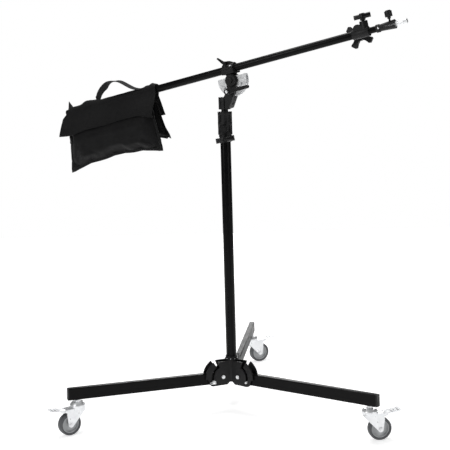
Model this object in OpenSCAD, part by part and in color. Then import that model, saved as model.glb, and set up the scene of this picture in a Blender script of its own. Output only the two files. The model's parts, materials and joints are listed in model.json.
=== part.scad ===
// Boom stand on three folding, wheeled legs, with a saddle sandbag as counterweight.
// Millimetres, +Z up. The origin is on the floor, under the middle of the stand's overall box.

/* [Column] */
// Left to right distance from the middle of the overall box to the column axis
column_x = 17; // [0:1:60]
// Front to back distance from the middle of the overall box to the column axis
column_y = -120; // [-140:1:-60]
// Outside diameter of the column tube
column_d = 35; // [33:0.5:36]
// Outside diameter of the riser tube that slides in the column
riser_d = 30; // [28:0.5:30.5]
// Wall thickness of both round tubes
tube_wall = 2; // [1.5:0.25:2.25]
// Height of the top of the column tube
column_top = 950; // [700:10:1200]
// Height of the lower end of the riser tube
riser_bottom = 200; // [180:10:400]

/* [Hub and legs] */
// Direction of the left, right and rear legs, anticlockwise from +X
leg_azimuth = [202.4, 322.8, 82.4];
// Distance from the column axis to the pivot of a leg
pivot_r = 38; // [38:1:42]
// Height of the leg pivots
pivot_z = 122; // [116:1:124]
// Slope of the legs, rising from the hub to the casters, in degrees
leg_rise = 2; // [0:0.5:3]
// Distance from a leg pivot to the outer end of its tube
leg_l = 540; // [450:10:650]
// Height of the rectangular leg tube
leg_h = 40; // [36:1:40]
// Width of the rectangular leg tube
leg_w = 20; // [18:1:20]
// Outer radius of the bracket plates, about the leg pivot
bracket_r = 64; // [60:1:66]
// Distance from the leg pivot to its lock pin
lock_r = 39; // [37:1:41]

/* [Casters] */
// Direction in which the left, right and rear casters trail, anticlockwise from +X
trail_azimuth = [214, 11, 23];
// Distance from the column axis to the swivel axis of a caster
stem_r = 550; // [450:10:640]
// Diameter of a caster wheel
wheel_d = 75; // [70:1:76]
// Width of a caster wheel
wheel_w = 24; // [20:1:25]
// Horizontal distance from the swivel axis to the wheel axle
trail = 32; // [28:1:36]
// Height of a caster, floor to the underside of the leg
caster_h = 115; // [110:1:116]

/* [Boom] */
// Direction of the front of the boom, anticlockwise from +X
boom_azimuth = -27; // [-45:1:0]
// Tilt of the boom above level
boom_tilt = 12.6; // [0:0.2:20]
// Outside diameter of the outer boom tube
boom_d = 25; // [24:0.5:25]
// Outside diameter of the inner boom tube
inner_boom_d = 20; // [18:0.5:20.5]
// Distance from the column axis to the tilt pivot
tilt_x = 35; // [34:1:44]
// Height of the tilt pivot
tilt_z = 1136; // [1136:1:1150]
// Distance from the tilt pivot up to the boom axis
boom_rise = 38; // [36:1:40]
// Length of boom behind the tilt pivot
boom_back = 683; // [650:1:750]
// Length of outer boom tube in front of the tilt pivot
boom_front = 477; // [450:1:550]
// Outer radius of the tilt quadrants
quadrant_r = 53; // [50:1:54]
// Radius of the arc slot in the tilt quadrants
slot_r = 36; // [35:1:38]
// Diameter of the mounting spigot
spigot_d = 16; // [16:1:16]

/* [Sandbag] */
// Length of the sandbag along the boom
bag_l = 405; // [350:5:420]
// Drop of each side of the sandbag below the boom axis
bag_drop = 212; // [180:1:230]
// Thickness of one filled pouch
pouch_t = 46; // [35:1:55]
// Distance from the tilt pivot back to the middle of the sandbag
bag_back = 493; // [450:1:520]

/* [Hidden] */
$fn = 96;
LEFT = 0;
RIGHT = 1;
REAR = 2;
fit = 0.05;
gap = 0.3;
column_r = column_d / 2;
riser_r = riser_d / 2;
leg_drop = 5;
leg_wall = 2;
leg_inner_end = -8;
plate_in = leg_w / 2 + 0.6;
plate_out = leg_w / 2 + 6;
plate_top = 56;
plate_bottom = -29;
lock_angle = -20;
fold_angle = 85;
pin_r = 4;
bolt_r = 4;
sleeve_r = 20.5;
hub_top = pivot_z + plate_top;
ring_h = 13;
stem_bore_r = 6.4;
clamp_z = column_top - 18;
clamp_h = 24;
clamp_screw_z = clamp_z + 12;
head_z = clamp_z + clamp_h + gap;
head_h = 76;
socket_z = head_z + head_h + 8;
socket_h = 40;
slit_turn = -63;
socket_screw_x = 14;
knob_azimuth = 265;
knob_z = head_z + 20;
wheel_r = wheel_d / 2;
fork_in = wheel_w / 2 + 2;
fork_out = fork_in + 2.5;
crown_z = caster_h - 28;
boom_r = boom_d / 2;
inner_boom_r = inner_boom_d / 2;
tongue_y = 4.7;
quadrant_t = 3;
cheek_in = tongue_y + 2 * gap + quadrant_t;
cheek_out = cheek_in + 9;
cheek_r = 21;
saddle_y = 25;
saddle_back = -24;
saddle_l = 43;
lever_x = saddle_back + 15;
screw_front = saddle_back + saddle_l - 9;
screw_rear = saddle_back + 9;
cap_screws = [[screw_front, -19], [screw_rear, 19], [screw_front, 19]];
end_clamp_x = boom_front - 36;
end_clamp_l = 55;
t_screw_x = end_clamp_x + 42;
star_x = end_clamp_x + 6;
tip_x = end_clamp_x + end_clamp_l + 24;
spigot_x = tip_x + 62;
spigot_l = 38;
shank_r = 7;
black = "#1b1b1c";
zinc = "#d9dade";
steel = "#c4c6ca";

// ---- Placing ----

module at_column() {
    translate([column_x, column_y, 0]) children();
}

// +X runs out along the leg, level, from the column axis.
module along_leg(i) {
    at_column() rotate([0, 0, leg_azimuth[i]]) children();
}

// Origin at the leg pivot, +X along the leg tube.
module on_leg(i) {
    along_leg(i) translate([pivot_r, 0, pivot_z]) rotate([0, -leg_rise, 0]) children();
}

// Origin on the floor under the caster stem, +X towards the wheel.
module on_caster(i) {
    along_leg(i) translate([stem_r, 0, 0])
        rotate([0, 0, trail_azimuth[i] - leg_azimuth[i]]) children();
}

// Origin on the floor at the column axis, +X along the boom, level.
module on_head() {
    at_column() rotate([0, 0, boom_azimuth]) children();
}

// Origin at the tilt pivot, +X parallel to the boom.
module on_tilt() {
    on_head() translate([tilt_x, 0, tilt_z]) rotate([0, -boom_tilt, 0]) children();
}

// Origin on the boom axis above the tilt pivot, +X along the boom.
module on_boom() {
    on_tilt() translate([0, 0, boom_rise]) children();
}

// ---- Shared shapes ----

module tube(r_out, r_in, h) {
    difference() {
        cylinder(r = r_out, h = h);
        translate([0, 0, -1]) cylinder(r = r_in, h = h + 2);
    }
}

// A rod along +Y, from y0 to y1.
module rod_y(r, y0, y1) {
    translate([0, y0, 0]) rotate([-90, 0, 0]) cylinder(r = r, h = y1 - y0);
}

// A rod along +X, from x0 to x1.
module rod_x(r, x0, x1) {
    translate([x0, 0, 0]) rotate([0, 90, 0]) cylinder(r = r, h = x1 - x0);
}

// An X-Z outline, thickened from y0 to y1.
module slab_y(y0, y1) {
    translate([0, y1, 0]) rotate([90, 0, 0]) linear_extrude(y1 - y0) children();
}

module rounded_rect(w, h, r) {
    square([w - 2 * r, h], center = true);
    square([w, h - 2 * r], center = true);
    for (sx = [-1, 1], sy = [-1, 1])
        translate([sx * (w / 2 - r), sy * (h / 2 - r)]) circle(r = r);
}

// A slot outline that follows an arc of radius r about the origin, with a round pocket at each end.
module arc_slot(r, half_w, from, to) {
    steps = 6;
    pocket = half_w + 0.4;
    reach = 2 * r;
    intersection() {
        difference() {
            circle(r = r + half_w);
            circle(r = r - half_w);
        }
        polygon(concat([[0, 0]], [for (k = [0 : steps]) let(a = from + (to - from) * k / steps)
            [reach * cos(a), reach * sin(a)]]));
    }
    for (a = [from, to]) rotate(a) translate([r, 0]) circle(r = pocket);
}

// A clamp screw along +Z with a cross bar near its outer end.
module t_screw(screw_r, hub_r, hub_from, hub_to, bar_r, bar_half, bar_angle) {
    cylinder(r = screw_r, h = hub_from + 1);
    translate([0, 0, hub_from]) cylinder(r = hub_r, h = hub_to - hub_from);
    translate([0, 0, hub_to - hub_r]) rotate([0, 0, bar_angle]) {
        rod_x(bar_r - 0.7, -bar_half, 0);
        rod_x(bar_r, -3, bar_half);
    }
}

// ---- Hub and column ----

module bracket_outline() {
    pin = [lock_r * cos(lock_angle), lock_r * sin(lock_angle)];
    slot_half = pin_r + 0.7;
    mouth = 8;
    difference() {
        union() {
            intersection() {
                circle(r = bracket_r);
                translate([-30, -2]) square([100, plate_top + 1]);
            }
            polygon([[-30, 6], [-30, -14], [-15, plate_bottom], [pin[0], plate_bottom],
                [pin[0] + 15, pin[1]], [bracket_r - 3, 6]]);
            translate(pin) circle(r = 15.5);
        }
        arc_slot(lock_r, slot_half, lock_angle, lock_angle + fold_angle);
        rotate(lock_angle + fold_angle) polygon([[lock_r, -slot_half], [bracket_r + 2, -mouth],
            [bracket_r + 2, mouth], [lock_r, slot_half]]);
        circle(r = bolt_r + fit);
    }
}

module hub_casting() {
    color(black) difference() {
        union() {
            at_column() translate([0, 0, pivot_z - 20]) cylinder(r = sleeve_r, h = plate_top + 20);
            for (i = [LEFT, RIGHT, REAR], side = [-1, 1])
                along_leg(i) translate([pivot_r, 0, pivot_z])
                    slab_y(side > 0 ? plate_in : -plate_out, side > 0 ? plate_out : -plate_in)
                        bracket_outline();
        }
        at_column() cylinder(r = column_r, h = hub_top + 1);
    }
}

module hub_ring() {
    color(black) at_column() translate([0, 0, hub_top]) difference() {
        union() {
            cylinder(r = column_r + 5.5, h = 4);
            cylinder(r = column_r + 3, h = ring_h);
        }
        translate([0, 0, -1]) cylinder(r = column_r, h = ring_h + 2);
    }
}

module ring_screws() {
    color(steel) at_column() for (k = [0 : 8])
        rotate([0, 0, 264 + 40 * k]) translate([column_r + 4.2, 0, hub_top + 4])
            cylinder(r = 1.2, h = 2.2);
}

module leg_pivot_bolts() {
    color(steel) for (i = [LEFT, RIGHT, REAR])
        along_leg(i) translate([pivot_r, 0, pivot_z]) {
            rod_y(bolt_r, -plate_out - 1, plate_out + 1);
            for (side = [0, 180]) rotate([0, 0, side]) {
                rod_y(6.5, plate_out, plate_out + 2.5);
                rod_y(5, plate_out + 2, plate_out + 4);
            }
        }
}

module column_tube() {
    color(black) at_column() difference() {
        translate([0, 0, pivot_z - 22]) tube(column_r, column_r - tube_wall, column_top - pivot_z + 22);
        translate([0, 0, clamp_screw_z]) rod_y(5 + gap, -column_r - 5, -5);
    }
}

module column_clamp() {
    flange_top = clamp_z + clamp_h;
    color(black) at_column() difference() {
        union() {
            translate([0, 0, clamp_z]) cylinder(r = 20, h = clamp_h - 4);
            translate([0, 0, flange_top - 8]) cylinder(r = 21.5, h = 8);
            translate([0, 0, clamp_screw_z]) rod_y(9, -33, -15);
            for (k = [0 : 5]) rotate([0, 0, 30 + 60 * k]) translate([17.8, -2, clamp_z])
                cube([3.6, 4, clamp_h - 4]);
        }
        translate([0, 0, clamp_z - 1]) cylinder(r = column_r, h = column_top - clamp_z + 1);
        translate([0, 0, clamp_z - 1]) cylinder(r = riser_r + fit, h = clamp_h + 2);
        translate([0, 0, clamp_screw_z]) rod_y(5 + fit, -35, -5);
    }
}

module column_t_screw() {
    color(black) at_column() translate([0, -riser_r - gap, clamp_screw_z])
        rotate([90, 0, 0]) t_screw(5, 8.8, 20, 50, 9.2, 31, 10);
}

module riser_tube() {
    color(steel) at_column() translate([0, 0, riser_bottom])
        tube(riser_r, riser_r - tube_wall, head_z + 30 - riser_bottom);
}

module riser_head() {
    rib_r = 21.5;
    color(black) at_column() difference() {
        union() {
            translate([0, 0, head_z]) cylinder(r = rib_r, h = head_h);
            for (z = [head_z, head_z + 32, head_z + head_h - 10])
                translate([0, 0, z]) cylinder(r = 24, h = 10);
            for (k = [0 : 7]) rotate([0, 0, 45 * k]) translate([rib_r - 3, -2, head_z])
                cube([5.2, 4, head_h]);
            rotate([0, 0, knob_azimuth]) translate([0, 0, knob_z]) rod_x(9, 15, 26);
            translate([0, 0, head_z + head_h - 1]) cylinder(r = 11.5, h = 8);
            translate([0, 0, head_z + head_h]) cylinder(r = spigot_d / 2, h = socket_h + 3);
        }
        translate([0, 0, head_z - 1]) cylinder(r = riser_r, h = 31);
        rotate([0, 0, knob_azimuth]) translate([0, 0, knob_z]) rod_x(4 + fit, 10, 30);
    }
}

module riser_knob() {
    color(black) at_column() rotate([0, 0, knob_azimuth]) translate([0, 0, knob_z])
        difference() {
            union() {
                rod_x(4, riser_r + gap, 30);
                rod_x(8, 26 + gap, 30);
                rod_x(12.5, 29, 38);
                rod_x(8, 36, 40);
            }
            for (k = [0 : 7]) rotate([45 * k, 0, 0]) translate([0, 14.5, 0]) rod_x(3.4, 28, 41);
        }
}

// ---- Legs ----

module leg_tube(i) {
    pin_a = lock_angle - leg_rise;
    color(black) difference() {
        on_leg(i) translate([0, 0, -leg_drop]) rotate([0, 90, 0])
            translate([0, 0, leg_inner_end]) linear_extrude(leg_l - leg_inner_end) difference() {
                rounded_rect(leg_h, leg_w, 3);
                rounded_rect(leg_h - 2 * leg_wall, leg_w - 2 * leg_wall, 1);
            }
        on_leg(i) rod_y(bolt_r + fit, -leg_w, leg_w);
        on_leg(i) rotate([0, -pin_a, 0]) translate([lock_r, 0, 0])
            rod_y(pin_r + fit, -leg_w, leg_w);
        on_caster(i) translate([0, 0, caster_h - 5]) cylinder(r = stem_bore_r, h = 10);
    }
}

module leg_fitting(i) {
    pin_a = lock_angle - leg_rise;
    inside_h = leg_h - 2 * leg_wall;
    inside_w = leg_w - 2 * leg_wall;
    color(black) on_leg(i) difference() {
        translate([0, 0, -leg_drop]) rotate([0, 90, 0]) translate([0, 0, leg_inner_end])
            linear_extrude(66) rounded_rect(inside_h, inside_w, 1);
        rod_y(bolt_r + fit, -leg_w, leg_w);
        rotate([0, -pin_a, 0]) translate([lock_r, 0, 0]) rod_y(pin_r + fit, -leg_w, leg_w);
    }
}

module leg_cap(i) {
    plug_w = leg_w - 2 * leg_wall;
    plug_h = leg_h - 2 * leg_wall;
    color(black) on_leg(i) translate([leg_l, 0, -leg_drop]) rotate([0, 90, 0]) {
        linear_extrude(3) rounded_rect(leg_h, leg_w, 3);
        translate([0, 0, 2.5]) linear_extrude(1.5) rounded_rect(leg_h - 4, leg_w - 4, 3);
        translate([0, 0, -14]) linear_extrude(14.5) rounded_rect(plug_h, plug_w, 1);
    }
}

module lock_pin(i) {
    pin_a = lock_angle - leg_rise;
    knob_r = 6.2;
    ring_r = 10;
    ring_out = 8;
    color(steel) on_leg(i) rotate([0, -pin_a, 0]) translate([lock_r, 0, 0]) rotate([0, pin_a, 0]) {
        rod_y(pin_r, -plate_out - 4, plate_out + 8);
        rod_y(pin_r - 1, -plate_out - 5.5, -plate_out - 3);
        rod_y(knob_r, plate_out + gap, plate_out + 8);
        rod_y(knob_r - 1.5, plate_out + 7, plate_out + 9.5);
        translate([sqrt(ring_r * ring_r - ring_out * ring_out), plate_out + 5 + ring_out, 0])
            rotate_extrude() translate([ring_r, 0]) circle(r = 1.3, $fn = 24);
    }
}

// ---- Casters ----

module caster_stem(i) {
    color(zinc) on_caster(i) {
        translate([0, 0, crown_z - 4]) cylinder(r = 8, h = 4 - gap);
        translate([0, 0, crown_z - 1]) cylinder(r = 5, h = caster_h - crown_z + 20);
        translate([0, 0, crown_z + 12 + gap]) cylinder(r1 = 25, r2 = 19, h = 7);
        translate([0, 0, crown_z + 12 + gap]) cylinder(r = 6, h = 34);
        translate([0, 0, caster_h - 9]) cylinder(r = 10.5, h = 8.2, $fn = 6);
    }
}

module fork_outline() {
    axle = [trail, wheel_r];
    polygon([[-19, crown_z + 2], [43, crown_z + 2], [45, crown_z - 16], [axle[0] + 9, wheel_r],
        [axle[0] - 8, wheel_r - 4], [-19, crown_z - 8]]);
    translate(axle) circle(r = 9);
}

module caster_fork(i) {
    pedal_pin = [46, crown_z - 2];
    color(zinc) on_caster(i) difference() {
        union() {
            for (side = [-1, 1])
                slab_y(side > 0 ? fork_in : -fork_out, side > 0 ? fork_out : -fork_in)
                    union() {
                        fork_outline();
                        translate(pedal_pin) circle(r = 5);
                    }
            translate([0, 0, crown_z]) linear_extrude(3) translate([10, 0])
                rounded_rect(62, 2 * fork_out, 3);
            translate([0, 0, crown_z]) cylinder(r = 22, h = 5);
            translate([0, 0, crown_z + 4]) cylinder(r = 25, h = 8);
            translate([pedal_pin[0], 0, pedal_pin[1]]) rod_y(2, -fork_out, fork_out);
        }
        translate([0, 0, crown_z - 1]) cylinder(r = 5 + fit, h = 20);
        translate([0, 0, crown_z + 10]) cylinder(r = 15, h = 5);
        translate([trail, 0, wheel_r]) rod_y(4, -20, 20);
    }
}

module caster_axle(i) {
    color(steel) on_caster(i) translate([trail, 0, wheel_r]) {
        rod_y(4, -fork_out - 1, fork_out + 1);
        for (side = [0, 180]) rotate([0, 0, side]) {
            translate([0, fork_out, 0]) rotate([-90, 0, 0]) cylinder(r = 7, h = 4, $fn = 6);
            rod_y(3.5, fork_out + 3, fork_out + 5.5);
        }
    }
}

module caster_wheel(i) {
    rim_r = wheel_r - 8.5;
    color("#8f9496") on_caster(i) translate([trail, 0, wheel_r]) difference() {
        union() {
            rod_y(9.5, -wheel_w / 2 - 1, wheel_w / 2 + 1);
            rod_y(rim_r, -wheel_w / 2 + 2, wheel_w / 2 - 2);
        }
        for (side = [0, 180]) rotate([0, 0, side]) difference() {
            rod_y(rim_r - 3, 4, wheel_w);
            rod_y(9.5, 0, wheel_w);
        }
        rod_y(4 + fit, -wheel_w, wheel_w);
    }
}

module caster_tyre(i) {
    rim_r = wheel_r - 8.5;
    corner = 4;
    color("#3c3d40") on_caster(i) translate([trail, 0, wheel_r]) rotate([90, 0, 0])
        rotate_extrude() difference() {
            union() {
                translate([rim_r, -wheel_w / 2]) square([wheel_r - corner - rim_r, wheel_w]);
                translate([rim_r, -wheel_w / 2 + corner])
                    square([wheel_r - rim_r, wheel_w - 2 * corner]);
                for (side = [-1, 1])
                    translate([wheel_r - corner, side * (wheel_w / 2 - corner)])
                        circle(r = corner, $fn = 32);
            }
            translate([rim_r - 1, -wheel_w]) square([1, 2 * wheel_w]);
        }
}

module caster_pedal(i) {
    hinge = [46, 0, crown_z - 2];
    toe = 57;
    color(zinc) on_caster(i) translate(hinge) difference() {
        union() {
            rod_y(4.2, -fork_in + gap, fork_in - gap);
            rotate([0, -9, 0]) translate([0, 0, 1.5]) linear_extrude(2.5) union() {
                translate([0, -fork_in + 1]) square([20, 2 * fork_in - 2]);
                translate([toe / 2 + 5, 0]) rounded_rect(toe - 10, 34, 7);
            }
            for (x = [24, 34, 44]) rotate([0, -9, 0]) translate([x, -13, 3]) cube([4, 26, 2.5]);
            translate([2, -9, -6]) cube([10, 18, 8]);
        }
        rod_y(2 + fit, -fork_out, fork_out);
    }
}

// ---- Boom head ----

// Outline of the offset arm, from the socket up to the tilt pivot.
module arm_outline() {
    lock_z = tilt_z - slot_r;
    polygon([[-4, socket_z + 8], [18, socket_z + 2], [26, socket_z + 5],
        [tilt_x + 13, lock_z - 2], [tilt_x + cheek_r - 2, tilt_z], [tilt_x - cheek_r + 2, tilt_z],
        [tilt_x - 15, lock_z + 6], [6, socket_z + socket_h]]);
    translate([tilt_x, tilt_z]) circle(r = cheek_r);
    translate([tilt_x, lock_z]) circle(r = 14);
}

module head_socket() {
    lock_z = tilt_z - slot_r;
    web_top = tilt_z - quadrant_r - 3;
    color(black) on_head() difference() {
        union() {
            translate([0, 0, socket_z]) cylinder(r = 20, h = socket_h);
            for (side = [-1, 1])
                slab_y(side > 0 ? cheek_in : -cheek_out, side > 0 ? cheek_out : -cheek_in)
                    arm_outline();
            slab_y(-cheek_in - 1, cheek_in + 1) intersection() {
                arm_outline();
                translate([-30, 0]) square([120, web_top]);
            }
            translate([tilt_x, 0, tilt_z]) rod_y(cheek_r - 2, -cheek_out - 6, -cheek_out + 1);
        }
        translate([0, 0, socket_z - 1]) cylinder(r = spigot_d / 2 + fit, h = socket_h - 3);
        rotate([0, 0, slit_turn]) translate([4, -1.2, socket_z - 1])
            cube([20, 2.4, socket_h - 4]);
        rotate([0, 0, slit_turn]) translate([socket_screw_x, 0, socket_z + socket_h / 2]) {
            rod_y(2.5 + fit, -30, 30);
            rod_y(5, 13.5, 30);
            rod_y(5, -30, -13.5);
        }
        translate([tilt_x, 0, tilt_z]) rod_y(6 + fit, -cheek_out - 8, cheek_out + 1);
        translate([tilt_x, 0, lock_z]) rod_y(3 + fit, -cheek_out - 1, cheek_out + 1);
    }
}

module socket_screw() {
    color(steel) on_head() rotate([0, 0, slit_turn])
        translate([socket_screw_x, 0, socket_z + socket_h / 2]) {
            rod_y(2.5, -14.2, 14.2);
            rod_y(4.5, 13.9, 17);
            rod_y(4.5, -17, -13.9);
        }
}

module tilt_bolt() {
    color(steel) on_head() translate([tilt_x, 0, tilt_z]) {
        rod_y(6, -cheek_out - 6.5, cheek_out + 1);
        translate([0, cheek_out + gap, 0]) rotate([-90, 0, 0]) cylinder(r = 9, h = 4, $fn = 6);
        translate([0, -cheek_out - 6 - gap, 0]) rotate([90, 0, 0]) cylinder(r = 9, h = 4, $fn = 6);
    }
}

module tilt_lever() {
    boss_r = 9.5;
    boss_from = cheek_out + gap;
    boss_to = 52;
    reach = 80;
    color(black) on_head() translate([tilt_x, 0, tilt_z - slot_r]) {
        rod_y(3, -boss_from - 1, cheek_out + 8);
        rod_y(7.5, cheek_out + gap, cheek_out + 8);
        rod_y(boss_r, -boss_to, -boss_from);
        rotate([0, -boom_tilt, 0]) {
            slab_y(-boss_to + 3, -boss_to + 12) polygon([[0, -8.5], [reach - 12, -5.4],
                [reach - 12, 5.4], [0, 8.5]]);
            translate([reach - 12, -boss_to + 7.5, 0]) rod_x(6, 0, 8);
            translate([reach - 4, -boss_to + 7.5, 0]) sphere(r = 6, $fn = 32);
        }
    }
}

module tilt_quadrants() {
    edge = 12;
    half_slot = 62;
    from_y = tongue_y + gap;
    color(steel) on_tilt() for (side = [-1, 1])
        slab_y(side > 0 ? from_y : -from_y - quadrant_t, side > 0 ? from_y + quadrant_t : -from_y)
            difference() {
                intersection() {
                    circle(r = quadrant_r);
                    translate([-quadrant_r, -quadrant_r]) square([2 * quadrant_r, quadrant_r + edge]);
                }
                circle(r = 6 + fit);
                arc_slot(slot_r, 3.6, -90 - half_slot, -90 + half_slot);
            }
}

module boom_saddle() {
    base_z = boom_rise - 16;
    color(black) on_tilt() difference() {
        union() {
            slab_y(-tongue_y, tongue_y) {
                circle(r = cheek_r - 4);
                polygon([[-cheek_r + 5, 2], [cheek_r - 5, 2], [17, base_z + 2], [-21, base_z + 2]]);
            }
            translate([saddle_back, -saddle_y, base_z]) cube([saddle_l, 2 * saddle_y, 15.5]);
        }
        translate([0, 0, boom_rise]) rod_x(boom_r + fit, saddle_back - 1, saddle_back + saddle_l + 20);
        rod_y(6 + fit, -tongue_y - 1, tongue_y + 1);
        for (p = concat(cap_screws, [[lever_x, -19]]))
            translate([p[0], p[1], boom_rise - 12]) cylinder(r = 2.5 + fit, h = 14);
    }
}

module boom_cap() {
    dome_r = 19;
    color(black) on_boom() difference() {
        union() {
            intersection() {
                rod_x(dome_r, saddle_back, saddle_back + saddle_l);
                translate([saddle_back, -dome_r - 1, 0.5]) cube([saddle_l, 2 * dome_r + 2, dome_r + 1]);
            }
            translate([saddle_back, -saddle_y, 0.5]) cube([saddle_l, 2 * saddle_y, 6]);
            translate([lever_x, -19, 3]) cylinder(r = 6, h = 16);
            slab_y(-9, 9) polygon([[saddle_back + 4, 12], [saddle_back + 4, 26],
                [saddle_back + 22, 27], [saddle_back + saddle_l - 3, 18], [saddle_back + saddle_l - 3, 12]]);
        }
        rod_x(boom_r + fit, saddle_back - 1, saddle_back + saddle_l + 1);
        for (p = concat(cap_screws, [[lever_x, -19]]))
            translate([p[0], p[1], -1]) cylinder(r = 2.5 + fit, h = 24);
        for (p = cap_screws) translate([p[0], p[1], 6.3]) cylinder(r = 5, h = 24);
    }
}

module boom_cap_screws() {
    color(steel) on_boom() for (p = cap_screws) translate([p[0], p[1], -12]) {
        cylinder(r = 2.5, h = 20);
        translate([0, 0, 18.5 + gap]) cylinder(r = 4.5, h = 4);
    }
}

module boom_clamp_lever() {
    color(black) on_boom() translate([lever_x, -19, 0]) {
        translate([0, 0, -12]) cylinder(r = 2.5, h = 33);
        translate([0, 0, 19 + gap]) cylinder(r = 6.5, h = 7);
        slab_y(-3.5, 3.5) polygon([[4, 20], [4, 25.5], [-3, 29], [-20, 44], [-23, 41.5], [-7, 20]]);
    }
}

// ---- Boom ----

module boom_tube() {
    color(black) on_boom() difference() {
        rod_x(boom_r, -boom_back, boom_front);
        rod_x(inner_boom_r + fit, -boom_back - 1, boom_front + 1);
    }
}

module boom_rear_plug() {
    color(black) on_boom() {
        rod_x(boom_r, -boom_back - 3, -boom_back);
        rod_x(inner_boom_r, -boom_back - 1, -boom_back + 15);
    }
}

module boom_end_clamp() {
    body_r = 15.5;
    end_x = end_clamp_x + end_clamp_l;
    color(black) on_boom() difference() {
        union() {
            rod_x(body_r, end_clamp_x, end_x);
            translate([t_screw_x, 0, 0]) cylinder(r = 13, h = 34);
            translate([end_clamp_x + 22, 0, 13]) rod_y(15, -12, 12);
            translate([star_x, 0, 0]) rod_y(13, 0, 28);
        }
        rod_x(boom_r, end_clamp_x - 10, boom_front);
        rod_x(inner_boom_r + fit, boom_front - 1, end_x + 3);
        translate([t_screw_x, 0, 4]) cylinder(r = 5 + fit, h = 40);
        translate([star_x, 0, 0]) rod_y(5 + fit, 4, 40);
    }
}

module boom_t_screw() {
    from = inner_boom_r + gap;
    color(black) on_boom() translate([t_screw_x, 0, from])
        t_screw(5, 8.8, 37 - from, 58 - from, 7.8, 26, 15);
}

module boom_star_knob() {
    lobe_r = 44;
    color(black) on_boom() translate([star_x, 0, 0]) {
        rod_y(5, boom_r + gap, 36);
        rod_y(13, 28 + gap, 36);
        rod_y(19, 34, 52);
        for (k = [0 : 3]) rotate([0, 37 + 90 * k, 0])
            slab_y(36.5, 50) polygon([[8, -9], [28, -7.5], [lobe_r - 4, -10], [lobe_r, -7.5],
                [lobe_r, 7.5], [lobe_r - 4, 10], [28, 7.5], [8, 9]]);
    }
}

module boom_inner_tube() {
    color(black) on_boom() difference() {
        rod_x(inner_boom_r, -120, tip_x + 10);
        rod_x(inner_boom_r - tube_wall, -121, tip_x + 11);
    }
}

// A split jaw that opens out towards the spigot.
module boom_tip() {
    ring_l = 11;
    jaw_l = 62;
    color(black) on_boom() difference() {
        union() {
            rod_x(12.5, tip_x, tip_x + ring_l);
            translate([tip_x + ring_l - 1, 0, 0]) rotate([0, 90, 0])
                cylinder(r1 = 10.4, r2 = 14.4, h = jaw_l - ring_l + 1);
        }
        rod_x(inner_boom_r, tip_x - 1, tip_x + 10);
        rod_x(shank_r, tip_x + 9, tip_x + jaw_l + 1);
        slab_y(-20, 20) polygon([[tip_x + 22, -0.8], [tip_x + jaw_l + 1, -2.6],
            [tip_x + jaw_l + 1, 2.6], [tip_x + 22, 0.8]]);
        translate([tip_x + 46, 0, 4]) cylinder(r = 3 + fit, h = 20);
    }
}

module tip_knob() {
    color(black) on_boom() translate([tip_x + 46, 0, 0]) difference() {
        union() {
            translate([0, 0, shank_r + gap]) cylinder(r = 3, h = 20);
            translate([0, 0, 20]) cylinder(r = 5.5, h = 8);
            translate([0, 0, 26]) cylinder(r = 11.5, h = 17);
            translate([0, 0, 42]) cylinder(r = 8.5, h = 3.5);
        }
        for (k = [0 : 5]) rotate([0, 0, 60 * k]) translate([15, 0, 25]) cylinder(r = 5, h = 30);
    }
}

module boom_spigot() {
    color(steel) on_boom() {
        rod_x(shank_r, tip_x + 14, spigot_x + 1);
        rod_x(spigot_d / 2, spigot_x, spigot_x + spigot_l - 1.5);
        translate([spigot_x + spigot_l - 1.5, 0, 0]) rotate([0, 90, 0])
            cylinder(r1 = spigot_d / 2, r2 = spigot_d / 2 - 1.5, h = 1.5);
    }
}

// ---- Sandbag ----

// A saddle over the boom tube with a filled pouch hanging on each side.
module sandbag() {
    skin = 3;
    inside = boom_r + gap;
    outside = inside + skin;
    inner_face = inside + 0.2;
    pouch = [[inner_face, 3], [outside - 0.8, 3], [inside + pouch_t * 0.55, -bag_drop * 0.3],
        [inside + pouch_t, -bag_drop * 0.6], [inside + pouch_t, -bag_drop * 0.8],
        [inside + pouch_t * 0.75, -bag_drop * 0.95], [inside + pouch_t * 0.4, -bag_drop],
        [inner_face, -bag_drop * 0.95]];
    color("#232324") on_boom() translate([-bag_back - bag_l / 2, 0, 0]) rotate([90, 0, 90]) {
        linear_extrude(bag_l) difference() {
            circle(r = outside);
            circle(r = inside);
            translate([-2 * outside, -2 * outside]) square([4 * outside, 2 * outside + 1]);
        }
        for (side = [-1, 1])
            linear_extrude(bag_l) polygon([for (p = pouch) [side * p[0], p[1]]]);
    }
}

// Webbing loop that arches over the top of the sandbag, along the boom.
module sandbag_handle() {
    strap_w = 26;
    strap_t = 3;
    half_span = 92;
    rise = 50;
    arc_r = (half_span * half_span + rise * rise) / (2 * rise);
    base_z = boom_r + 4;
    color("#232324") on_boom() translate([-bag_back + 39, 0, base_z])
        slab_y(-strap_w / 2, strap_w / 2) intersection() {
            translate([0, rise - arc_r]) difference() {
                circle(r = arc_r);
                circle(r = arc_r - strap_t);
            }
            translate([-2 * half_span, 0]) square([4 * half_span, 2 * rise]);
        }
}

hub_casting();
hub_ring();
ring_screws();
leg_pivot_bolts();
column_tube();
column_clamp();
column_t_screw();
riser_tube();
riser_head();
riser_knob();
leg_tube(LEFT);  // left_leg_tube
leg_fitting(LEFT);  // left_leg_fitting
leg_cap(LEFT);  // left_leg_cap
lock_pin(LEFT);  // left_lock_pin
caster_stem(LEFT);  // left_caster_stem
caster_fork(LEFT);  // left_caster_fork
caster_axle(LEFT);  // left_caster_axle
caster_wheel(LEFT);  // left_caster_wheel
caster_tyre(LEFT);  // left_caster_tyre
caster_pedal(LEFT);  // left_caster_pedal
leg_tube(RIGHT);  // right_leg_tube
leg_fitting(RIGHT);  // right_leg_fitting
leg_cap(RIGHT);  // right_leg_cap
lock_pin(RIGHT);  // right_lock_pin
caster_stem(RIGHT);  // right_caster_stem
caster_fork(RIGHT);  // right_caster_fork
caster_axle(RIGHT);  // right_caster_axle
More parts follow.
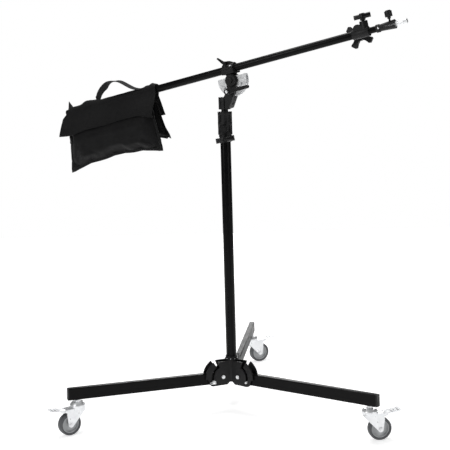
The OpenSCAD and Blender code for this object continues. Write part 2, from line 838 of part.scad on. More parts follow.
caster_wheel(RIGHT);  // right_caster_wheel
caster_tyre(RIGHT);  // right_caster_tyre
caster_pedal(RIGHT);  // right_caster_pedal
leg_tube(REAR);  // rear_leg_tube
leg_fitting(REAR);  // rear_leg_fitting
leg_cap(REAR);  // rear_leg_cap
lock_pin(REAR);  // rear_lock_pin
caster_stem(REAR);  // rear_caster_stem
caster_fork(REAR);  // rear_caster_fork
caster_axle(REAR);  // rear_caster_axle
caster_wheel(REAR);  // rear_caster_wheel
caster_tyre(REAR);  // rear_caster_tyre
caster_pedal(REAR);  // rear_caster_pedal
head_socket();
socket_screw();
tilt_bolt();
tilt_lever();
tilt_quadrants();
boom_saddle();
boom_cap();
boom_cap_screws();
boom_clamp_lever();
boom_tube();
boom_rear_plug();
boom_end_clamp();
boom_t_screw();
boom_star_knob();
boom_inner_tube();
boom_tip();
tip_knob();
boom_spigot();
sandbag();
sandbag_handle();
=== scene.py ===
import json
import math

import bmesh
import bpy
from mathutils import Matrix, Vector, noise

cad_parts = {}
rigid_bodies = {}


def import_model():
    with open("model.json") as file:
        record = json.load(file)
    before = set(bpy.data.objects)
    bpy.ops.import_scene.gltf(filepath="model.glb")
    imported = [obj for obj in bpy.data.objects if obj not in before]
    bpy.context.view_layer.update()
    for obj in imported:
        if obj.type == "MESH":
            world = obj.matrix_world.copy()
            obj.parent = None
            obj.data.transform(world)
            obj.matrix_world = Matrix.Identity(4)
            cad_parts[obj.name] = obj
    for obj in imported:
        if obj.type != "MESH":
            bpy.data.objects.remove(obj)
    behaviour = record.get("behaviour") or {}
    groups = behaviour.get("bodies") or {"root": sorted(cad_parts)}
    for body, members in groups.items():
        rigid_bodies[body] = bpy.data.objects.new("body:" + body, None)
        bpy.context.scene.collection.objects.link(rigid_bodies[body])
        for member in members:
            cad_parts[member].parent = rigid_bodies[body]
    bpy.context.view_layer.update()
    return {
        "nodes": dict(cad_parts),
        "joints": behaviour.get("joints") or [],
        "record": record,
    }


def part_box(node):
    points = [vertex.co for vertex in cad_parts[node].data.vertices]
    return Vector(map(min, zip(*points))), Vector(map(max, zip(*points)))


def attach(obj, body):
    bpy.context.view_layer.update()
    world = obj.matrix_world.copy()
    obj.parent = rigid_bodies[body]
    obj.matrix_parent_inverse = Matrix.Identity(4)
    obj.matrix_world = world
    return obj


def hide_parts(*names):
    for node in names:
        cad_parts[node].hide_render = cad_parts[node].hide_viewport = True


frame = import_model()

MM = 0.001
nodes = frame["nodes"]
joints = {j["name"]: j for j in frame["joints"]}
slot_of = {s["node"]: s["material_slot"] for s in frame["record"]["subparts"]}
scene = bpy.context.scene


# ---------- places ----------

def axis_of(joint):
    return Vector(joints[joint]["axis"]).normalized()


def middle_of(node):
    low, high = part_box(node)
    return (low + high) / 2


boom_x = axis_of("boom_slide")
boom_z = axis_of("tip_knob_turn")
boom_y = boom_z.cross(boom_x)
boom_middle = middle_of("boom_tube")
tilt_pivot = Vector(joints["boom_tilt"]["pos_m"])
boom_origin = boom_middle + boom_x * (tilt_pivot - boom_middle).dot(boom_x)


def on_boom(x, y, z):
    """A point given in millimetres along, across and above the boom's axis."""
    return boom_origin + (x * boom_x + y * boom_y + z * boom_z) * MM


# ---------- materials ----------

class Nodes:
    """A material under construction, with its Principled shader and a few shortcuts."""

    def __init__(self, name):
        self.mat = bpy.data.materials.new(name)
        self.mat.use_nodes = True
        self.tree = self.mat.node_tree
        self.bsdf = self.tree.nodes["Principled BSDF"]
        self.coord = self.tree.nodes.new("ShaderNodeTexCoord")

    def new(self, kind, **values):
        node = self.tree.nodes.new("ShaderNode" + kind)
        for key, value in values.items():
            setattr(node, key, value)
        return node

    def link(self, out, into):
        self.tree.links.new(out, into)

    def place(self, stretch):
        mapping = self.new("Mapping")
        mapping.inputs["Scale"].default_value = stretch
        self.link(self.coord.outputs["Object"], mapping.inputs["Vector"])
        return mapping.outputs["Vector"]

    def noise(self, scale, detail=3.0, rough=0.5, stretch=(1, 1, 1), warp=0.0):
        tex = self.new("TexNoise")
        tex.inputs["Scale"].default_value = scale
        tex.inputs["Detail"].default_value = detail
        tex.inputs["Roughness"].default_value = rough
        tex.inputs["Distortion"].default_value = warp
        self.link(self.place(stretch), tex.inputs["Vector"])
        return tex.outputs["Fac"]

    def between(self, source, low, high, start=0.3, end=0.7):
        """A number from low to high as the source goes from start to end."""
        node = self.new("MapRange")
        node.inputs["From Min"].default_value = start
        node.inputs["From Max"].default_value = end
        node.inputs["To Min"].default_value = low
        node.inputs["To Max"].default_value = high
        self.link(source, node.inputs["Value"])
        return node.outputs["Result"]

    def ramp(self, source, stops):
        node = self.new("ValToRGB")
        band = node.color_ramp
        while len(band.elements) < len(stops):
            band.elements.new(0.5)
        for element, (place, colour) in zip(band.elements, stops):
            element.position = place
            element.color = (*colour, 1)
        self.link(source, node.inputs["Fac"])
        return node.outputs["Color"]

    def blend(self, fac, a, b):
        node = self.new("Mix", data_type="RGBA")
        if isinstance(fac, float):
            node.inputs["Factor"].default_value = fac
        else:
            self.link(fac, node.inputs["Factor"])
        for key, value in (("A", a), ("B", b)):
            socket = [s for s in node.inputs if s.name == key and s.type == "RGBA"][0]
            if isinstance(value, tuple):
                socket.default_value = (*value, 1)
            else:
                self.link(value, socket)
        return [s for s in node.outputs if s.type == "RGBA"][0]

    def maths(self, kind, a, b=None):
        node = self.new("Math", operation=kind)
        for socket, value in zip(node.inputs, (a, b)):
            if value is None:
                continue
            if isinstance(value, (int, float)):
                socket.default_value = value
            else:
                self.link(value, socket)
        return node.outputs[0]

    def bump(self, height, distance, strength=1.0, under=None):
        node = self.new("Bump")
        node.inputs["Distance"].default_value = distance
        node.inputs["Strength"].default_value = strength
        self.link(height, node.inputs["Height"])
        if under is not None:
            self.link(under, node.inputs["Normal"])
        return node.outputs["Normal"]

    def edges(self, radius):
        """0 on flat parts and up to 1 where the surface turns an edge within the radius."""
        soft = self.new("Bevel", samples=4)
        soft.inputs["Radius"].default_value = radius
        flat = self.new("NewGeometry")
        dot = self.new("VectorMath", operation="DOT_PRODUCT")
        self.link(soft.outputs["Normal"], dot.inputs[0])
        self.link(flat.outputs["Normal"], dot.inputs[1])
        return self.between(dot.outputs["Value"], 1.0, 0.0, 0.86, 0.99)

    def finish(self, colour, rough, normal=None, metallic=0.0, specular=0.5, sheen=0.0):
        b = self.bsdf.inputs
        self.link(colour, b["Base Color"])
        self.link(rough, b["Roughness"])
        b["Metallic"].default_value = metallic
        b["Specular IOR Level"].default_value = specular
        b["Sheen Weight"].default_value = sheen
        b["Sheen Roughness"].default_value = 0.55
        if normal is not None:
            self.link(normal, b["Normal"])
        return self.mat


def painted(name, dark, light, rough_low, rough_high, grain, grain_depth, wear=0.35, specular=0.4):
    """Black paint or powder coat: faint cloudiness, fine grain, slightly worn edges."""
    m = Nodes(name)
    cloud = m.noise(14.0, 4.0, 0.6)
    colour = m.ramp(cloud, [(0.3, dark), (0.7, light)])
    patches = m.between(m.noise(160.0, 5.0, 0.7), 0.0, wear, 0.45, 0.7)
    scuff = m.maths("MULTIPLY", m.edges(0.0012), patches)
    colour = m.blend(scuff, colour, (0.06, 0.06, 0.063))
    fine = m.noise(grain, 2.0, 0.5)
    rough = m.between(m.noise(45.0, 4.0, 0.65), rough_low, rough_high)
    normal = m.bump(fine, grain_depth, 0.6)
    normal = m.bump(m.noise(30.0, 2.0, 0.5), 0.0002, 0.25, under=normal)
    return m.finish(colour, rough, normal, specular=specular)


def plated(name, dark, light, rough_low, rough_high, brush, metallic=1.0):
    """Bright metal with fine scratches along one direction and cloudy plating."""
    m = Nodes(name)
    colour = m.ramp(m.noise(60.0, 5.0, 0.6), [(0.3, dark), (0.7, light)])
    lines = m.noise(90.0, 3.0, 0.5, stretch=brush)
    rough = m.between(m.blend(0.5, m.noise(35.0, 3.0), lines), rough_low, rough_high)
    normal = m.bump(lines, 0.00001, 0.15)
    return m.finish(colour, rough, normal, metallic=metallic)


def moulded(name, dark, light, rough_low, rough_high, grain, depth, specular=0.4):
    """Moulded plastic or rubber: spark-eroded grain and faint flow marks."""
    m = Nodes(name)
    colour = m.ramp(m.noise(25.0, 5.0, 0.6, warp=0.6), [(0.25, dark), (0.75, light)])
    cells = m.new("TexVoronoi", feature="SMOOTH_F1")
    cells.inputs["Scale"].default_value = grain
    m.link(m.coord.outputs["Object"], cells.inputs["Vector"])
    rough = m.between(m.noise(70.0, 4.0, 0.6), rough_low, rough_high)
    normal = m.bump(cells.outputs["Distance"], depth, 0.5)
    return m.finish(colour, rough, normal, specular=specular)


def woven(name, dark, light, pitch, depth, rough_low, rough_high, sheen, ribs=False):
    """Nylon cloth: two crossing sets of threads that run along and across the boom, with painted shade
    in the hollows of the weave.
    """
    m = Nodes(name)
    waves = []
    for direction in ((boom_x,) if ribs else (boom_x, boom_z)):
        dot = m.new("VectorMath", operation="DOT_PRODUCT")
        dot.inputs[1].default_value = direction
        m.link(m.coord.outputs["Object"], dot.inputs[0])
        turn = m.maths("MULTIPLY", dot.outputs["Value"], 2 * math.pi / pitch)
        waves.append(m.maths("SINE", turn))
    weave = waves[0]
    if not ribs:
        weave = m.maths("MULTIPLY", waves[0], waves[1])
    height = m.between(weave, 0.0, 1.0, -1.0, 1.0)
    fibres = m.noise(900.0, 2.0, 0.7)
    colour = m.ramp(m.noise(18.0, 5.0, 0.65), [(0.3, dark), (0.7, light)])
    # Painted shade: the colour is darkened in the low half of the weave, most where the threads dip
    # lowest.
    colour = m.blend(m.between(height, 0.55, 0.0, 0.0, 0.5), colour, tuple(0.35 * c for c in dark))
    rough = m.between(m.noise(50.0, 4.0, 0.6), rough_low, rough_high)
    normal = m.bump(height, depth, 0.8)
    normal = m.bump(fibres, depth * 0.5, 0.4, under=normal)
    normal = m.bump(m.noise(55.0, 5.0, 0.6, warp=0.8), 0.0008, 0.35, under=normal)
    return m.finish(colour, rough, normal, specular=0.15, sheen=sheen)


materials = {
    "black_tube": painted("black_tube", (0.0018, 0.0018, 0.002), (0.0036, 0.0036, 0.0038),
                          0.3, 0.42, 1400.0, 0.00003, wear=0.12, specular=0.1),
    "black_casting": painted("black_casting", (0.0045, 0.0045, 0.0048), (0.009, 0.009, 0.0095),
                             0.42, 0.58, 900.0, 0.0001, wear=0.5, specular=0.25),
    "black_steel": painted("black_steel", (0.004, 0.004, 0.0043), (0.007, 0.007, 0.0075),
                           0.3, 0.42, 1300.0, 0.00005, wear=0.6, specular=0.28),
    "black_plastic": moulded("black_plastic", (0.006, 0.006, 0.0063), (0.011, 0.011, 0.0115),
                             0.38, 0.5, 1500.0, 0.00004, specular=0.3),
    "chromed_tube": plated("chromed_tube", (0.8, 0.81, 0.82), (0.88, 0.89, 0.9),
                           0.08, 0.16, (1, 1, 0.05)),
    "polished_steel": plated("polished_steel", (0.78, 0.79, 0.8), (0.88, 0.89, 0.9),
                             0.24, 0.36, (0.1, 1, 1), metallic=0.45),
    "zinc_plate": plated("zinc_plate", (0.78, 0.79, 0.81), (0.88, 0.89, 0.9),
                         0.24, 0.38, (1, 1, 0.4), metallic=0.55),
    "wheel_grey": moulded("wheel_grey", (0.4, 0.41, 0.42), (0.5, 0.515, 0.525),
                          0.4, 0.55, 900.0, 0.00005),
    "tyre_rubber": moulded("tyre_rubber", (0.075, 0.078, 0.082), (0.11, 0.114, 0.12),
                           0.55, 0.72, 700.0, 0.0001, specular=0.35),
    "bag_nylon": woven("bag_nylon", (0.0022, 0.0022, 0.0024), (0.0045, 0.0045, 0.0048),
                       0.0011, 0.00018, 0.55, 0.75, 0.04),
    "bag_webbing": woven("bag_webbing", (0.004, 0.004, 0.0043), (0.0075, 0.0075, 0.008),
                         0.0016, 0.0003, 0.5, 0.7, 0.07, ribs=True),
}


def dress(obj, slot):
    obj.data.materials.clear()
    obj.data.materials.append(materials[slot])


UNBEVELLED = ("sandbag", "sandbag_handle", "tilt_quadrants")
for name, obj in nodes.items():
    dress(obj, slot_of[name])
    if name in UNBEVELLED:
        continue
    weld = obj.modifiers.new("weld", "WELD")
    weld.merge_threshold = 0.00001
    round_edges = obj.modifiers.new("round_edges", "BEVEL")
    round_edges.width = 0.0005
    round_edges.segments = 2
    round_edges.limit_method = "ANGLE"
    round_edges.angle_limit = math.radians(38)
    round_edges.harden_normals = False


# ---------- pieces ----------

def add(name, bm, slot, body, smooth=True):
    """Turns a bmesh into a named piece that rides on a body."""
    mesh = bpy.data.meshes.new(name)
    bmesh.ops.recalc_face_normals(bm, faces=bm.faces)
    bm.to_mesh(mesh)
    bm.free()
    obj = bpy.data.objects.new(name, mesh)
    scene.collection.objects.link(obj)
    for face in mesh.polygons:
        face.use_smooth = smooth
    dress(obj, slot)
    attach(obj, body)
    return obj


def grid_faces(bm, rows, closed=False):
    """Quads between rows of vertices."""
    count = len(rows[0])
    for a, b in zip(rows, rows[1:]):
        for k in range(count if closed else count - 1):
            n = (k + 1) % count
            bm.faces.new((a[k], a[n], b[n], b[k]))


def capped_tube(bm, rows):
    """Quads round and between closed rows of vertices, with a face at each end."""
    grid_faces(bm, rows, closed=True)
    bm.faces.new(rows[0])
    bm.faces.new(rows[-1][::-1])


def smoothstep(a, b, x):
    t = min(max((x - a) / (b - a), 0.0), 1.0)
    return t * t * (3 - 2 * t)


def lump(x, middle, half):
    """1 in the middle, falling smoothly to 0 at half the width."""
    return 1 - smoothstep(0, half, abs(x - middle))


# ---------- sandbag pouches ----------

POUCH_TOP = 4
POUCH_MID = 30
POUCH_CORNER = 11
POUCH_OUT = 24
POUCH_IN = 25
KEPT_PULL = 0.35
CLEAR_OF_BOOM = 13.6
CLOTH_FRAMES = 20
CELL = 7


class Pouch:
    """The cut of one pouch, in millimetres along and below the boom's axis."""

    def __init__(self, side, left, right, bottom):
        self.side = side
        self.left = left
        self.right = right
        self.bottom = bottom

    def place(self, u, w):
        """u from 0 to 1 along the boom, w from 0 at the top to 1 at the bottom seam."""
        left = self.left[0] + (self.left[1] - self.left[0]) * w
        right = self.right[0] + (self.right[1] - self.right[0]) * w
        pulled = (abs(2 * u - 1) * w) ** 7
        x = left + (right - left) * u + POUCH_CORNER * pulled * (1 if u > 0.5 else -1)
        z = POUCH_TOP + (self.bottom - POUCH_TOP) * w - POUCH_CORNER * pulled
        return x, z


POUCHES = {
    "front": Pouch(-1, (-664, -693), (-315, -313), -199),
    "rear": Pouch(1, (-650, -680), (-337, -313), -160),
}


def pouch_start(cut):
    """The pouch before filling: two flat panels sewn together round the sides and bottom."""
    bm = bmesh.new()
    across = round((cut.right[1] - cut.left[1]) / CELL)
    down = round((POUCH_TOP - cut.bottom) / CELL)
    flat = {}
    for face in (-1, 1):
        for i in range(across + 1):
            for j in range(down + 1):
                edge = i in (0, across) or j in (0, down)
                if edge and face > 0:
                    flat[face, i, j] = flat[-1, i, j]
                    continue
                x, z = cut.place(i / across, j / down)
                y = POUCH_MID + (0 if edge else 4 * face)
                flat[face, i, j] = bm.verts.new(on_boom(x, cut.side * y, z))
        for i in range(across):
            for j in range(down):
                corners = [flat[face, i, j], flat[face, i + 1, j],
                           flat[face, i + 1, j + 1], flat[face, i, j + 1]]
                bm.faces.new(corners)
    bm.verts.index_update()
    top = sorted({flat[f, i, j].index for f in (-1, 1) for i in range(across + 1) for j in (0, 1)})
    seam = [flat[-1, 0, j].index for j in range(down + 1)]
    seam += [flat[-1, i, down].index for i in range(1, across + 1)]
    seam += [flat[-1, across, j].index for j in range(down - 1, -1, -1)]
    return bm, top, seam


def fill_with_sand(obj, top):
    """Blows the pouch up with cloth simulation, held at its top edge."""
    pins = obj.vertex_groups.new(name="held")
    pins.add(top, 1.0, "REPLACE")
    cloth = obj.modifiers.new("cloth", "CLOTH")
    s = cloth.settings
    s.quality = 6
    s.mass = 0.3
    s.tension_stiffness = 60
    s.compression_stiffness = 40
    s.shear_stiffness = 20
    s.bending_stiffness = 1.5
    s.use_pressure = True
    s.uniform_pressure_force = 4.0
    s.vertex_group_mass = "held"
    s.effector_weights.gravity = 0
    cloth.point_cache.frame_start = 1
    cloth.point_cache.frame_end = CLOTH_FRAMES
    for step in range(1, CLOTH_FRAMES + 1):
        scene.frame_set(step)
    done = bpy.data.meshes.new_from_object(obj.evaluated_get(bpy.context.evaluated_depsgraph_get()))
    obj.modifiers.clear()
    obj.vertex_groups.clear()
    scene.frame_set(1)
    return [v.co.copy() for v in done.vertices]


def boom_coords(point):
    local = (point - boom_origin) / MM
    return local.dot(boom_x), local.dot(boom_y), local.dot(boom_z)


def flap_hang(drop):
    """How far the flap stands off the middle plane at a depth below the boom's axis."""
    return 17 + 38 * min(max(drop / 90, 0.0), 1.0)


def settle(before, after, side):
    """Where a point of the filled pouch comes to rest: less drawn in, clear of flap and boom."""
    x0, y0, z0 = boom_coords(before)
    x1, y1, z1 = boom_coords(after)
    x = x0 + KEPT_PULL * (x1 - x0)
    z = z0 + KEPT_PULL * (z1 - z0)
    depth = smoothstep(-10, 150, -z)
    out = (y1 * side - POUCH_MID) * (0.55 + 0.55 * depth)
    out = max(min(out, POUCH_OUT), -POUCH_IN)
    crease = noise.noise(Vector((x * 0.022, side * 7, z * 0.03)))
    fine = noise.noise(Vector((x * 0.06 + 11, side * 3, z * 0.07)))
    out += (1.9 * crease + 0.8 * fine) * smoothstep(2, 12, abs(out)) * (1 if out > 0 else 0.5)
    y = POUCH_MID + out
    if z > -105:
        y = min(y, flap_hang(-z) - 6 + 10 * smoothstep(95, 105, -z))
    clear = CLEAR_OF_BOOM - 11 * smoothstep(14, 45, -z)
    return x, side * max(y, clear), z


def make_pouch(name, cut):
    bm, top, seam = pouch_start(cut)
    obj = add(name, bm, "bag_nylon", "bag")
    before = [v.co.copy() for v in obj.data.vertices]
    after = fill_with_sand(obj, top)
    placed = [settle(p, q, cut.side) for p, q in zip(before, after)]
    for v, place in zip(obj.data.vertices, placed):
        v.co = on_boom(*place)
    sub = obj.modifiers.new("smooth", "SUBSURF")
    sub.levels = sub.render_levels = 1
    return obj, [Vector(placed[k]) for k in seam]


BINDING_W = 0.011
BINDING_T = 0.0022
BINDING_LAP = 0.005
STITCH_PITCH = 0.0045
STITCH_L = 0.0032
STITCH_R = 0.0004


def ribbon(bm, path, reaches, width, thick):
    """A flat strip along a path of points, as wide as it reaches from each point."""
    rows = []
    for k, p in enumerate(path):
        ahead = path[min(k + 1, len(path) - 1)] - path[max(k - 1, 0)]
        reach = reaches[k]
        face = ahead.cross(reach).normalized() * (thick / 2)
        rows.append([bm.verts.new(q) for q in (p + face, p + reach * width + face,
                                               p + reach * width - face, p - face)])
    capped_tube(bm, rows)


def stitches(bm, path, out):
    """A row of short raised stitches along a path, pushed out along the out vectors."""
    travelled = 0.0
    mark = STITCH_PITCH
    for k in range(1, len(path)):
        step = path[k] - path[k - 1]
        dist = step.length
        while mark <= travelled + dist:
            p = path[k - 1] + step * ((mark - travelled) / dist)
            along = step.normalized() * (STITCH_L / 2)
            side = along.cross(out[k]).normalized() * STITCH_R
            lift = out[k].normalized() * STITCH_R
            ends = [p - along, p - along * 0.6 + lift, p + along * 0.6 + lift, p + along]
            row_a = [bm.verts.new(ends[0]), bm.verts.new(ends[1] + side), bm.verts.new(ends[2] + side)]
            row_b = [bm.verts.new(ends[3]), bm.verts.new(ends[1] - side), bm.verts.new(ends[2] - side)]
            low = bm.verts.new(p - lift)
            bm.faces.new((row_a[0], row_a[1], row_b[1]))
            bm.faces.new((row_a[1], row_a[2], row_b[2], row_b[1]))
            bm.faces.new((row_a[2], row_b[0], row_b[2]))
            bm.faces.new((row_a[0], low, row_a[1]))
            bm.faces.new((row_a[1], low, row_a[2]))
            bm.faces.new((row_a[2], low, row_b[0]))
            bm.faces.new((row_b[0], low, row_b[2]))
            bm.faces.new((row_b[2], low, row_b[1]))
            bm.faces.new((row_b[1], low, row_a[0]))
            mark += STITCH_PITCH
        travelled += dist


def seam_binding(name, seam):
    """The bound seam that stands out round the sides and bottom of a pouch, with its stitches."""
    centre = sum(seam, Vector()) / len(seam)
    path = []
    outward = []
    for k, p in enumerate(seam):
        ahead = seam[min(k + 1, len(seam) - 1)] - seam[max(k - 1, 0)]
        normal = Vector((ahead.z, 0, -ahead.x)).normalized()
        if normal.dot(p - centre) < 0:
            normal = -normal
        path.append(on_boom(*p))
        outward.append((normal.x * boom_x + normal.z * boom_z).normalized())
    bm = bmesh.new()
    lap = [p - o * BINDING_LAP for p, o in zip(path, outward)]
    ribbon(bm, lap, outward, BINDING_W, BINDING_T)
    add(name, bm, "bag_webbing", "bag")
    bm = bmesh.new()
    for way in (-1, 1):
        line = [p + o * 0.003 + boom_y * (way * 0.0012) for p, o in zip(path, outward)]
        stitches(bm, line, [boom_y * way] * len(line))
    add(name + "_stitches", bm, "bag_webbing", "bag", smooth=False)


for label, cut in POUCHES.items():
    pouch, seam = make_pouch("bag_pouch_" + label, cut)
    seam_binding("bag_seam_" + label, seam)
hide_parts("sandbag")

# ---------- sandbag flap ----------

FLAP_LEFT = -669
FLAP_RIGHT = -293
ACROSS = 90
TOP_R = 17.5
TOP_SHARE = 0.2
TOP_TURN = math.radians(100)


def hem_drop(x, side):
    """How far the hem hangs below the boom's axis at a place along the boom."""
    if side < 0:
        return 77 + 6 * lump(x, -655, 70) - 4 * lump(x, -423, 110) + 16 * smoothstep(-373, -293, x)
    return 82 + 6 * smoothstep(-393, -303, x) + 3 * lump(x, -553, 90)


def flap_point(u, v):
    """u from 0 to 1 along the boom, v from -1 at the front hem, over the boom, to 1 at the rear hem."""
    side = -1 if v < 0 else 1
    s = abs(v)
    x = FLAP_LEFT + (FLAP_RIGHT - FLAP_LEFT) * u
    # Both ends lean out at the hems, and the top gathers where the handle is sewn on.
    flare = smoothstep(0.3, 1.0, s)
    early = 0.7 * smoothstep(0.1, 0.4, s) + 0.3 * flare
    x += -(36 if side < 0 else 26) * early * (1 - smoothstep(0.0, 0.35, u))
    x += -(12 * flare if side < 0 else 26 * early) * smoothstep(0.75, 1.0, u)
    if s < TOP_SHARE:
        angle = TOP_TURN * s / TOP_SHARE
        y = TOP_R * math.sin(angle)
        z = TOP_R * math.cos(angle)
    else:
        t = (s - TOP_SHARE) / (1 - TOP_SHARE)
        start_y = TOP_R * math.sin(TOP_TURN)
        start_z = TOP_R * math.cos(TOP_TURN)
        drop = hem_drop(x, side)
        z = start_z - (drop + start_z) * t
        y = max(start_y, flap_hang(-z))
    loose = smoothstep(0.25, 0.8, s)
    fold = noise.noise(Vector((x * 0.013, s * 1.2 + side * 5, 0.3)))
    crease = noise.noise(Vector((x * 0.045 + s * 2.0, s * 2.5, side * 4.0)))
    left_end = 1 - smoothstep(0.0, 0.25, u)
    y += loose * (3 + 3.5 * fold + (1.2 + 3.2 * left_end) * crease)
    z += loose * 1.5 * fold
    top = 1 - smoothstep(0.0, TOP_SHARE, s)
    ridge = 10.0 * lump(x, -592, 32) * (1 + 0.25 * noise.noise(Vector((x * 0.1, v * 9, 2))))
    ridge += 5.0 * lump(x, -560, 30)
    ridge += 8.0 * lump(x, -309, 15) * (1 + 0.3 * noise.noise(Vector((x * 0.13, v * 9, 5))))
    ridge += 3.5 * lump(x, -332, 18)
    ridge += 27.0 * lump(x, -672, 11) * (1 - smoothstep(0.0, 0.1, s))
    z += top * (ridge + crease)
    y += top * ridge * side * s / (6 * TOP_SHARE)
    return x, side * y, z


bm = bmesh.new()
rows = []
DOWN = 26
for j in range(-DOWN, DOWN + 1):
    rows.append([bm.verts.new(on_boom(*flap_point(i / ACROSS, j / DOWN))) for i in range(ACROSS + 1)])
grid_faces(bm, rows)
flap = add("bag_flap", bm, "bag_nylon", "bag")
thick = flap.modifiers.new("thick", "SOLIDIFY")
thick.thickness = 0.0014
thick.offset = 0
sub = flap.modifiers.new("smooth", "SUBSURF")
sub.levels = sub.render_levels = 1


def flap_length(u):
    points = [on_boom(*flap_point(u, j / DOWN)) for j in range(-DOWN, DOWN + 1)]
    return sum((b - a).length for a, b in zip(points, points[1:]))


flap_cut = sum(flap_length(k / 10) for k in range(11)) / 11

# A folded hem with a row of stitches along each long edge and each end of the flap.
border = [(i / ACROSS, -1.0) for i in range(ACROSS + 1)]
border += [(1.0, j / DOWN) for j in range(-DOWN + 1, DOWN + 1)]
border += [(i / ACROSS, 1.0) for i in range(ACROSS - 1, -1, -1)]
border += [(0.0, j / DOWN) for j in range(DOWN - 1, -DOWN, -1)]


def hem_strip():
    bm = bmesh.new()
    stitch = bmesh.new()
    count = len(border)
    rows = []
    line = []
    away = []
    for k, (u, v) in enumerate(border):
        here = on_boom(*flap_point(u, v))
        inner = on_boom(*flap_point(min(max(u, 0.02), 0.98), min(max(v, -0.93), 0.93)))
        inward = (inner - here).normalized()
        ahead = on_boom(*flap_point(*border[(k + 1) % count])) - on_boom(*flap_point(*border[k - 1]))
        face = ahead.cross(inward).normalized()
        rows.append([bm.verts.new(here + inward * a * MM + face * b * MM)
                     for a, b in ((-0.8, 1.1), (8, 1.2), (8, -1.2), (-0.8, -1.1))])
        line.append(here + inward * 6.0 * MM + face * 1.3 * MM)
        away.append(face)
    grid_faces(bm, rows + rows[:1], closed=True)
    strip = add("bag_flap_hem", bm, "bag_nylon", "bag")
    soft = strip.modifiers.new("soft", "BEVEL")
    soft.width = 0.0006
    soft.segments = 2
    stitches(stitch, line, away)
    lines = add("bag_flap_stitches", stitch, "bag_webbing", "bag", smooth=False)
    return strip, lines


hem, hem_stitches = hem_strip()

# ---------- sandbag handle ----------

HANDLE = [(-576, 0, 12), (-562, 0, 15), (-550, 0, 17), (-541, 0, 25), (-532, -1, 36), (-520, -2, 46),
          (-506, -3, 54), (-490, -3, 60), (-472, -3, 64), (-454, -2, 65), (-437, -1, 60),
          (-421, 0, 49), (-406, 0, 37), (-392, 0, 27), (-378, 0, 20), (-362, 0, 16), (-345, 0, 14)]
WEB_W = 30
WEB_T = 1.8


def handle_twist(t):
    """Turn of the webbing about its own length, in radians."""
    return math.radians(6 + 64 * smoothstep(0.02, 0.16, t) * (1 - smoothstep(0.4, 0.56, t)))


def curve_through(points, steps):
    """A smooth curve through points, each part cut into steps."""
    pts = [Vector(p) for p in points]
    out = []
    for k in range(len(pts) - 1):
        p0, p1, p2, p3 = pts[max(k - 1, 0)], pts[k], pts[k + 1], pts[min(k + 2, len(pts) - 1)]
        for n in range(steps):
            t = n / steps
            out.append(0.5 * ((2 * p1) + (p2 - p0) * t + (2 * p0 - 5 * p1 + 4 * p2 - p3) * t * t
                              + (3 * p1 - p0 - 3 * p2 + p3) * t ** 3))
    out.append(pts[-1])
    return out


def webbing(name, points, width, thick, twist, steps=6):
    """A flat strap with slightly thinner edges, swept along a smooth path."""
    path = curve_through(points, steps)
    bm = bmesh.new()
    upper = [(-0.5, 0.2), (-0.46, 0.5), (-0.25, 0.5), (0, 0.46), (0.25, 0.5), (0.46, 0.5), (0.5, 0.2)]
    profile = upper + [(-a, -b) for a, b in upper]
    rows = []
    for k, p in enumerate(path):
        t = k / (len(path) - 1)
        ahead = (path[min(k + 1, len(path) - 1)] - path[max(k - 1, 0)]).normalized()
        flat = Matrix.Rotation(twist(t), 3, ahead) @ Vector((0, 1, 0))
        flat = (flat - ahead * flat.dot(ahead)).normalized()
        up = ahead.cross(flat)
        section = [p + flat * (a * width) + up * (b * thick) for a, b in profile]
        rows.append([bm.verts.new(on_boom(*q)) for q in section])
    capped_tube(bm, rows)
    return add(name, bm, "bag_webbing", "bag")


handle = webbing("bag_handle", HANDLE, WEB_W, WEB_T, handle_twist)
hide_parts("sandbag_handle")

# ---------- screws in the ring of the boom tip and in the tilt lever ----------

SCREW_PROFILE = [(1.0, -1.0), (1.0, 0.5), (0.84, 1.1), (0.5, 1.5), (0.46, 1.4), (0.46, 0.5)]
KNOB_TO_RING = 37
RING_R = 12.5
RING_SCREW_R = 3.0
LEVER_BOSS = 52
LEVER_SCREW_R = 5.0


def button_screw(name, x, z, seat, radius, material, body):
    """A domed screw head with a round socket, facing the front of the boom."""
    bm = bmesh.new()
    rows = []
    for reach, height in SCREW_PROFILE:
        turns = [2 * math.pi * k / 24 for k in range(24)]
        rows.append([bm.verts.new(on_boom(x + radius * reach * math.cos(t), -seat - height,
                                          z + radius * reach * math.sin(t))) for t in turns])
    capped_tube(bm, rows)
    add(name, bm, material, body)


knob_x = boom_coords(Vector(joints["tip_knob_turn"]["pos_m"]))[0]
button_screw("tip_ring_screw", knob_x - KNOB_TO_RING, 0, RING_R, RING_SCREW_R, "zinc_plate",
             joints["tip_knob_turn"]["parent"])
lever_x, _, lever_z = boom_coords(Vector(joints["tilt_handle_turn"]["pos_m"]))
button_screw("tilt_lever_screw", lever_x, lever_z, LEVER_BOSS, LEVER_SCREW_R, "polished_steel",
             joints["tilt_handle_turn"]["child"])

# ---------- camera ----------

LENS = 84.46
YAW = -1.073
PITCH = 9.494
ROLL = -1.591
FROM_COLUMN = (0.0566, -3.5374)
CAMERA_Z = 1.2404

camera = bpy.data.cameras.new("camera")
camera.lens = LENS
camera.sensor_width = 36
camera.clip_end = 60
view = bpy.data.objects.new("camera", camera)
scene.collection.objects.link(view)
column = middle_of("column_tube")
yaw = math.radians(YAW)
pitch = math.radians(PITCH)
forward = Vector((math.sin(yaw) * math.cos(pitch), math.cos(yaw) * math.cos(pitch), -math.sin(pitch)))
right = Vector((math.cos(yaw), -math.sin(yaw), 0))
up = right.cross(forward)
level = Matrix((right, up, -forward)).transposed()
tilted = level @ Matrix.Rotation(math.radians(ROLL), 3, "Z")
place = (column.x + FROM_COLUMN[0], column.y + FROM_COLUMN[1], CAMERA_Z)
view.matrix_world = Matrix.Translation(place) @ tilted.to_4x4()
scene.camera = view

# ---------- studio ----------

scene.view_settings.view_transform = "Standard"
scene.view_settings.look = "None"
ROOM_LIGHT = 0.1

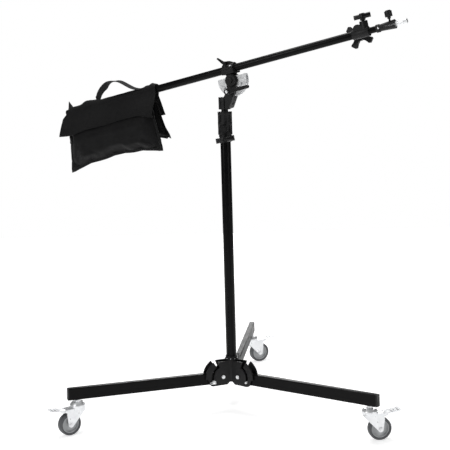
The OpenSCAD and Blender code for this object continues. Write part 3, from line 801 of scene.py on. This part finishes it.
world = bpy.data.worlds.new("studio")
scene.world = world
world.use_nodes = True
tree = world.node_tree
tree.nodes.clear()
out = tree.nodes.new("ShaderNodeOutputWorld")
path = tree.nodes.new("ShaderNodeLightPath")
either = tree.nodes.new("ShaderNodeMixShader")
tree.links.new(path.outputs["Is Camera Ray"], either.inputs["Fac"])
for socket, strength in ((1, ROOM_LIGHT), (2, 1.0)):
    glow = tree.nodes.new("ShaderNodeBackground")
    glow.inputs["Strength"].default_value = strength
    glow.inputs["Color"].default_value = (1, 1, 1, 1)
    tree.links.new(glow.outputs[0], either.inputs[socket])
tree.links.new(either.outputs[0], out.inputs["Surface"])

FLOOR_HALF = 3.4
floor_bm = bmesh.new()
bmesh.ops.create_grid(floor_bm, x_segments=2, y_segments=2, size=FLOOR_HALF)
floor_mesh = bpy.data.meshes.new("floor")
floor_bm.to_mesh(floor_mesh)
floor_bm.free()
floor = bpy.data.objects.new("floor", floor_mesh)
scene.collection.objects.link(floor)
paper = Nodes("paper")
tone = paper.ramp(paper.noise(3.0, 3.0), [(0.3, (0.9, 0.9, 0.9)), (0.7, (0.93, 0.93, 0.93))])
floor.data.materials.append(paper.finish(tone, paper.between(paper.noise(8.0), 0.6, 0.7), specular=0.1))
far = paper.new("VectorMath", operation="LENGTH")
paper.link(paper.coord.outputs["Object"], far.inputs[0])
paper.link(paper.between(far.outputs["Value"], 0.6, 1.0, 0.6, 3.0),
           paper.bsdf.inputs["Emission Strength"])
paper.link(tone, paper.bsdf.inputs["Emission Color"])


def softbox(name, place, aim, width, height, power):
    lamp = bpy.data.lights.new(name, "AREA")
    lamp.shape = "RECTANGLE"
    lamp.size = width
    lamp.size_y = height
    lamp.energy = power
    obj = bpy.data.objects.new(name, lamp)
    scene.collection.objects.link(obj)
    obj.location = place
    obj.rotation_euler = (Vector(aim) - Vector(place)).to_track_quat("-Z", "Y").to_euler()


softbox("key", (-2.6, -2.6, 2.6), (0, 0, 0.9), 1.0, 1.8, 55)
softbox("fill", (3.0, -2.2, 1.8), (0, 0, 0.8), 0.8, 1.8, 18)
softbox("rear", (0.3, 4.2, 1.25), (0, 0, 0.2), 2.6, 0.9, 45)
softbox("top", (0.0, 0.6, 3.4), (0, 0, 0.5), 2.0, 1.6, 60)
